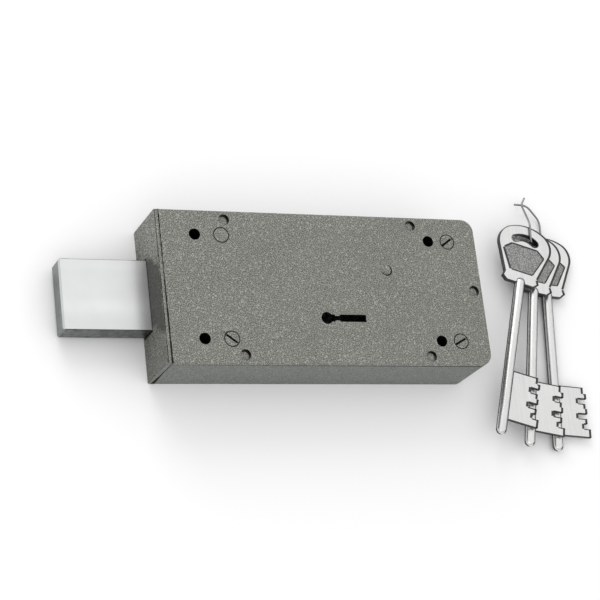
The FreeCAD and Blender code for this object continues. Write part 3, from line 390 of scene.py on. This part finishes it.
def finished_copy(name, node, finishes, choose=None, edge=0.0, edge_finish=None, rides=True):
    """A copy of a node's mesh with a finish chosen for each face from its centre and normal,
    and with its sharp edges softened."""
    mesh = NODES[node].data.copy()
    mesh.name = name
    work = bmesh.new()
    work.from_mesh(mesh)
    bmesh.ops.remove_doubles(work, verts=work.verts, dist=SAME_POINT)
    bmesh.ops.dissolve_limit(work, angle_limit=SAME_PLANE, verts=work.verts, edges=work.edges)
    work.to_mesh(mesh)
    work.free()
    mesh.materials.clear()
    for finish in finishes:
        mesh.materials.append(finish)
    for face in mesh.polygons:
        finish = choose(face.center, face.normal) if choose else finishes[0]
        face.material_index = finishes.index(finish)
        face.use_smooth = abs(face.normal.z) < FLAT_SHADED
    mesh.set_sharp_from_angle(angle=SMOOTH_BELOW)
    item = add_object(name, mesh)
    if edge:
        soften = item.modifiers.new("soft_edge", "BEVEL")
        soften.width = edge
        soften.segments = 2
        soften.limit_method = "ANGLE"
        soften.angle_limit = SOFTEN_ABOVE
        soften.material = finishes.index(edge_finish) if edge_finish else BY_NEIGHBOUR
        soften.use_clamp_overlap = False
    if rides:
        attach(item, BODY_OF[node])
    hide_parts(node)
    return item


# Which way a face looks: the least or the most of its normal along an axis
BOLT_UP, BOLT_END, FOREND_SQUARE, HOLE_WALL = 0.5, 0.6, 0.9, 0.5
LEVEL, UPRIGHT, SHANK_SIDE = 0.99, 0.05, 0.3
NEAR_SIDE_TOP, FAR_SIDE_TOP = 0.2, 0.82


def bolt_face(centre, normal):
    """Zinc on the top and end chamfer, painted shade in darker zinc on the sides, end and long
    edges.
    """
    if normal.z > BOLT_UP and abs(normal.y) < BOLT_UP:
        return zinc
    return zinc_end_shade if abs(normal.x) > BOLT_END else zinc_side_shade


def forend_face(centre, normal):
    """The forend's own paint in front, the cover's on the edge that lies flush with it."""
    if normal.x < -FOREND_SQUARE:
        return forend_paint
    return paint if normal.z > FOREND_SQUARE else side_paint


RIM_DEPTH = 1 * MM


def cover_face():
    """Paint on the plate and its rim, shade on the walls of its holes."""
    low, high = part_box("cover_plate")
    half, middle = (high - low) / 2, (high + low) / 2

    def choose(centre, normal):
        place = centre - middle
        past_corner_x = max(0.0, place.x - half.x + CORNER)
        past_corner_y = max(0.0, abs(place.y) - half.y + CORNER)
        inside = CORNER - math.hypot(past_corner_x, past_corner_y)
        on_rim = inside < RIM_DEPTH or place.x < RIM_DEPTH - half.x
        return shade_steel if abs(normal.z) < HOLE_WALL and not on_rim else paint
    return choose


SLOT_REACH, BELOW_HEAD = 2 * MM, 0.1 * MM


def screw_face(node):
    """Paint on a screw's head, shade in its slot."""
    axis_x, axis_y = axis_of(node)
    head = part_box(node)[1].z

    def choose(centre, normal):
        from_axis = math.hypot(centre.x - axis_x, centre.y - axis_y)
        return shade_steel if from_axis < SLOT_REACH and centre.z < head - BELOW_HEAD else paint
    return choose


BOW_HALF, PANEL_SUNK, SHANK_RADIUS = 1.6 * MM, 0.4 * MM, 3.2 * MM
PANEL_HEIGHT, HEIGHT_SLACK = BOW_HALF - PANEL_SUNK, 0.05 * MM
WITHIN_BOW = BOW_HALF * 0.99


def key_face(node):
    """Nickel on the flats, painted shade in dark nickel on the upright edges and on the shank's
    sides, and pebbles on the sunk panels."""
    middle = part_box(node)[0].z + SHANK_RADIUS

    def choose(centre, normal):
        height = abs(centre.z - middle)
        if abs(normal.z) > LEVEL and abs(height - PANEL_HEIGHT) < HEIGHT_SLACK:
            return panel
        if abs(normal.z) < UPRIGHT and height < WITHIN_BOW:
            return nickel_shade
        near_side = normal.x < -SHANK_SIDE and normal.z < NEAR_SIDE_TOP
        far_side = normal.x > SHANK_SIDE and normal.z < FAR_SIDE_TOP
        return nickel_shade if near_side or far_side else nickel
    return choose


LINE_WIDTH, LINE_GAIN, LINE_LIFT = 0.5, 1.0, 0.02      # millimetres; the gain is the far side's


def shade_outline(name, shown, node):
    """A line of painted shade along a key's rounded edge, round each flat face that looks up. It
    is wider on the far side."""
    mesh = shown.data
    faces_at = {}
    for face in mesh.polygons:
        for key in face.edge_keys:
            faces_at.setdefault(key, []).append(face)
    lift = Vector((0, 0, LINE_LIFT * MM))
    points, quads = [], []
    for ends, faces in faces_at.items():
        finished = [(mesh.materials[face.material_index], face.normal) for face in faces]
        flats = [n for finish, n in finished if finish == nickel and n.z > LEVEL]
        walls = [n for finish, n in finished if finish == nickel_shade and abs(n.z) < UPRIGHT]
        if not flats or not walls:
            continue
        inward = -walls[0].normalized()
        width = (LINE_WIDTH + LINE_GAIN * max(0.0, -inward.x)) * MM
        a, b = (mesh.vertices[end].co + lift for end in ends)
        quads.append(tuple(range(len(points), len(points) + 4)))
        points += [a, b, b + inward * width, a + inward * width]
    add_overlay(name, points, quads, nickel_shade, BODY_OF[node])


finished_copy("bolt_bar", "bolt_head", (zinc, zinc_side_shade, zinc_end_shade), bolt_face)
finished_copy("forend_front", "forend_plate", (forend_paint, side_paint, paint), forend_face,
              edge=0.35 * MM)
finished_copy("cover_front", "cover_plate", (paint, shade_steel), cover_face())
for number in (1, 2, 3, 4):
    node = f"cover_screw_{number}"
    finished_copy(f"{node}_head", node, (paint, shade_steel), screw_face(node))
for number in (1, 2, 3):
    node = f"key_{number}"
    shown = finished_copy(f"{node}_shown", node, (nickel, nickel_shade, panel), key_face(node),
                          edge=0.2 * MM, edge_finish=nickel_shade)
    shade_outline(f"{node}_shade_line", shown, node)


# Lever springs: copies that ride no body, with their place baked into the mesh. The real springs
# are rooted in the lever at one end and held under the fixed post at the other.

for number in range(1, 9):
    node = f"lever_spring_{number}"
    strip = finished_copy(f"{node}_flexing", node, (spring,), rides=False)
    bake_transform(strip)


# Seams: thin bands of shade where two pieces meet. Their widths are in millimetres.

case_low, case_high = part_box("case_body")
cover_low, cover_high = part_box("cover_plate")
joint_x, forend_x = cover_low.x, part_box("forend_plate")[0].x
RIM_STEPS = 12
RIM_WIDTH, RIM_GAIN = 0.35, 0.75                       # at the forend, and more at the far end


def band(name, path, across, widths):
    """A thin strip along a path on the case, with its direction across and its width at each
    point."""
    half = [Vector(a) * (width * MM) / 2 for a, width in zip(across, widths)]
    low = [Vector(point) - h for point, h in zip(path, half)]
    high = [Vector(point) + h for point, h in zip(path, half)]
    count = len(path)
    faces = [(i, i + 1, count + i + 1, count + i) for i in range(count - 1)]
    add_overlay(name, low + high, faces, seam, "root")


def between(stops, place):
    """A value looked up along a row of (place, value) stops."""
    for (start, first), (end, last) in zip(stops, stops[1:]):
        if place <= end:
            return first + (last - first) * (place - start) / (end - start)
    return stops[-1][1]


def case_rim(level, out):
    """Points round the case from the forend's lower end to its upper end."""
    radius = CORNER + out
    left, bend = case_low.x, case_high.x + out - radius
    low, high = case_low.y - out, case_high.y + out
    run = bend - left

    def arc(middle_y, start):
        angles = [math.radians(start + 90 * i / RIM_STEPS) for i in range(RIM_STEPS + 1)]
        return [(bend + radius * math.cos(a), middle_y + radius * math.sin(a)) for a in angles]

    points = [(left + run * i / RIM_STEPS, low) for i in range(RIM_STEPS + 1)]
    points += arc(low + radius, -90)[1:] + arc(high - radius, 0)
    points += [(bend - run * i / RIM_STEPS, high) for i in range(1, RIM_STEPS + 1)]
    return [(x, y, level) for x, y in points]


rim = case_rim(cover_low.z, SKIN)
case_length = case_high.x - case_low.x
rim_widths = [RIM_WIDTH + RIM_GAIN * clamp((x - case_low.x) / case_length) for x, y, z in rim]
band("cover_seam", rim, [(0, 0, 1)] * len(rim), rim_widths)

LINE_STEPS = 160
LINE_INSET = 0.3 * MM         # from the cover's lower and upper sides
WAVERS = ((0.2, 28, 0), (0.15, 61, 1))                 # size, pace and start of each
DASH_COUNT, DASHES_FROM, DASHES_RISE = 16, 0.5, 0.1    # a count and shares of the whole line


def forend_line(name, x, stops, dashes):
    """A line of shade across the lock's face, from its lower side to its upper side. It has a
    width at each of the stops, a slight waver, and dashes over its upper half."""
    start = cover_low.y + LINE_INSET
    length = cover_high.y - cover_low.y - 2 * LINE_INSET
    path, widths = [], []
    for i in range(LINE_STEPS + 1):
        t = i / LINE_STEPS
        path.append((x, start + length * t, cover_high.z + SKIN))
        waver = 1 + sum(size * math.sin(pace * t + lead) for size, pace, lead in WAVERS)
        dash = max(0.0, math.sin(math.tau * DASH_COUNT * t))
        dash *= dashes * clamp((t - DASHES_FROM) / DASHES_RISE)
        widths.append(between(stops, t) * waver + dash)
    band(name, path, [(-1, 0, 0)] * len(path), widths)


# Where the lines at the forend lie, and (share of the way up, width) stops for each
FACE_SEAM_X, EDGE_SHADE_X = joint_x + 0.2 * MM, forend_x + 0.45 * MM
FACE_SEAM_STOPS = [(0, 0.95), (0.42, 0.8), (0.56, 0.3), (1, 0.35)]
EDGE_SHADE_STOPS = [(0, 0.3), (0.15, 0.42), (0.6, 0.4), (1, 0.25)]
CORNER_SEAM_STOPS = [(0, 2.4), (0.35, 1.2), (0.6, 0.4), (1, 0.25)]
CORNER_SEAM_STEPS = 12

forend_line("forend_seam_face", FACE_SEAM_X, FACE_SEAM_STOPS, dashes=0.45)
forend_line("forend_edge_shade", EDGE_SHADE_X, EDGE_SHADE_STOPS, dashes=0.0)
for name, y, side in (("forend_seam_low", case_low.y - SKIN, 1),
                      ("forend_seam_high", case_high.y + SKIN, -1)):
    places = [i / CORNER_SEAM_STEPS for i in range(CORNER_SEAM_STEPS + 1)]
    path = [(FACE_SEAM_X, y, case_low.z + (cover_high.z - case_low.z) * t) for t in places]
    widths = [between(CORNER_SEAM_STOPS, t) for t in places]
    band(name, path, [(side, 0, 0)] * len(path), widths)

MOUTH_EDGE, MOUTH_WIDTH = 0.5 * MM, 0.9
bolt_low, bolt_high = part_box("bolt_head")
right, left = bolt_low.y - MOUTH_EDGE, bolt_high.y + MOUTH_EDGE
floor_side, roof_side = bolt_low.z - MOUTH_EDGE, bolt_high.z + MOUTH_EDGE
round_mouth = [(right, floor_side, -1, -1), (left, floor_side, 1, -1), (left, roof_side, 1, 1),
               (right, roof_side, -1, 1), (right, floor_side, -1, -1)]
band("bolt_mouth_seam", [(forend_x - SKIN, y, z) for y, z, out_y, out_z in round_mouth],
     [(0, out_y, out_z) for y, z, out_y, out_z in round_mouth], [MOUTH_WIDTH] * len(round_mouth))

RING_STEPS = 48
RING_TIP = 0.25               # an open ring's width at its tips, as a share of its full width


def ring(name, node, radius, width, start=0, sweep=360, level=cover_high.z):
    """A thin band of shade round an upright piece, on the cover's face or at another level. Its
    start and sweep are in degrees."""
    x, y = axis_of(node)
    shares = [i / RING_STEPS for i in range(RING_STEPS + 1)]
    angles = [math.radians(start + sweep * share) for share in shares]
    outward = [(math.cos(a), math.sin(a), 0) for a in angles]
    path = [(x + radius * out_x, y + radius * out_y, level + SKIN) for out_x, out_y, _ in outward]
    tapers = [1.0 if sweep == 360 else math.sin(math.pi * share) for share in shares]
    band(name, path, outward, [width * (RING_TIP + (1 - RING_TIP) * t) for t in tapers])


for number in (1, 2, 3, 4):
    ring(f"screw_{number}_seam", f"cover_screw_{number}", radius=4.5 * MM, width=0.6)
ring("post_seam", "lever_post", radius=3.2 * MM, width=0.9, start=-170, sweep=240)

PEG_RADIUS, PEG_SHADE = 3.25 * MM, 1.1
for number in (1, 2, 3, 4, 5):
    node = f"cover_peg_{number}"
    ring(f"peg_{number}_shade", node, PEG_RADIUS - PEG_SHADE * MM / 2, PEG_SHADE,
         start=-40, sweep=170, level=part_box(node)[1].z)


# The paint that fills the slot of the upper left screw

HEAD_RADIUS, DISC_STEPS = 4.3 * MM, 48
head_x, head_y = axis_of("cover_screw_1")
head_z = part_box("cover_screw_1")[1].z + SKIN / 2
turns = [math.tau * i / DISC_STEPS for i in range(DISC_STEPS)]
disc = [(head_x + HEAD_RADIUS * math.cos(a), head_y + HEAD_RADIUS * math.sin(a), head_z)
        for a in turns]
add_overlay("paint_over_screw_1", disc, [tuple(range(DISC_STEPS))], paint, "root")


# Camera: the photograph's view, fitted to the corners of the case

CAMERA_PLACE = (-0.4465, -0.36695, 1.0263)
CAMERA_RIGHT = (0.92454849, -0.11224968, 0.36415669)
CAMERA_UP = (-0.01755587, 0.94206856, 0.33496062)
CAMERA_BACK = (-0.38065979, -0.31608043, 0.86901743)
SENSOR_MM = 36
FOCAL_PIXELS, FRAME_PIXELS = 2002.4, 600

camera_data = bpy.data.cameras.new("photo_camera")
camera_data.sensor_width = SENSOR_MM
camera_data.sensor_fit = "HORIZONTAL"
camera_data.lens = FOCAL_PIXELS / FRAME_PIXELS * SENSOR_MM
camera_data.clip_end = 20
camera = add_object("photo_camera", camera_data)
turn = Matrix((CAMERA_RIGHT, CAMERA_UP, CAMERA_BACK)).transposed().to_4x4()
camera.matrix_world = Matrix.Translation(CAMERA_PLACE) @ turn
bpy.context.scene.camera = camera
bpy.context.scene.view_settings.view_transform = "Standard"


# Floor and light

FLOOR_HALF = 4
SKY_STOPS = [(0.0, 0.3), (0.12, 0.3), (0.4, 1.0)]      # by height: grey low down, white above


def floor_material():
    material, _, shader = new_material("pale_floor")
    set_inputs(shader, Base_Color=(0.94, 0.94, 0.94, 1), Roughness=0.9, Specular_IOR_Level=0.0)
    return material


def area_light(name, place, size, power):
    """A square lamp that faces the lock's centre."""
    data = bpy.data.lights.new(name, "AREA")
    data.shape = "RECTANGLE"
    data.size = data.size_y = size
    data.energy = power
    lamp = add_object(name, data)
    lamp.location = place
    lamp.rotation_euler = Vector(place).to_track_quat("Z", "Y").to_euler()


floor_corners = [(x * FLOOR_HALF, y * FLOOR_HALF, 0)
                 for x, y in ((-1, -1), (1, -1), (1, 1), (-1, 1))]
floor = add_mesh("floor", floor_corners, [(0, 1, 2, 3)], floor_material())

world = bpy.data.worlds.new("studio")
world.use_nodes = True
tree = world.node_tree
direction = tree.nodes.new("ShaderNodeTexCoord")
height = tree.nodes.new("ShaderNodeSeparateXYZ")
tree.links.new(direction.outputs["Generated"], height.inputs[0])
sky = tree.nodes["Background"]
tree.links.new(ramp(tree, height.outputs["Z"], SKY_STOPS), sky.inputs["Color"])
set_inputs(sky, Strength=1.0)
bpy.context.scene.world = world

area_light("key_light", (-0.45, 1.4, 0.95), size=1.0, power=8)
area_light("fill_light", (-1.1, -1.3, 0.9), size=1.4, power=2.9)
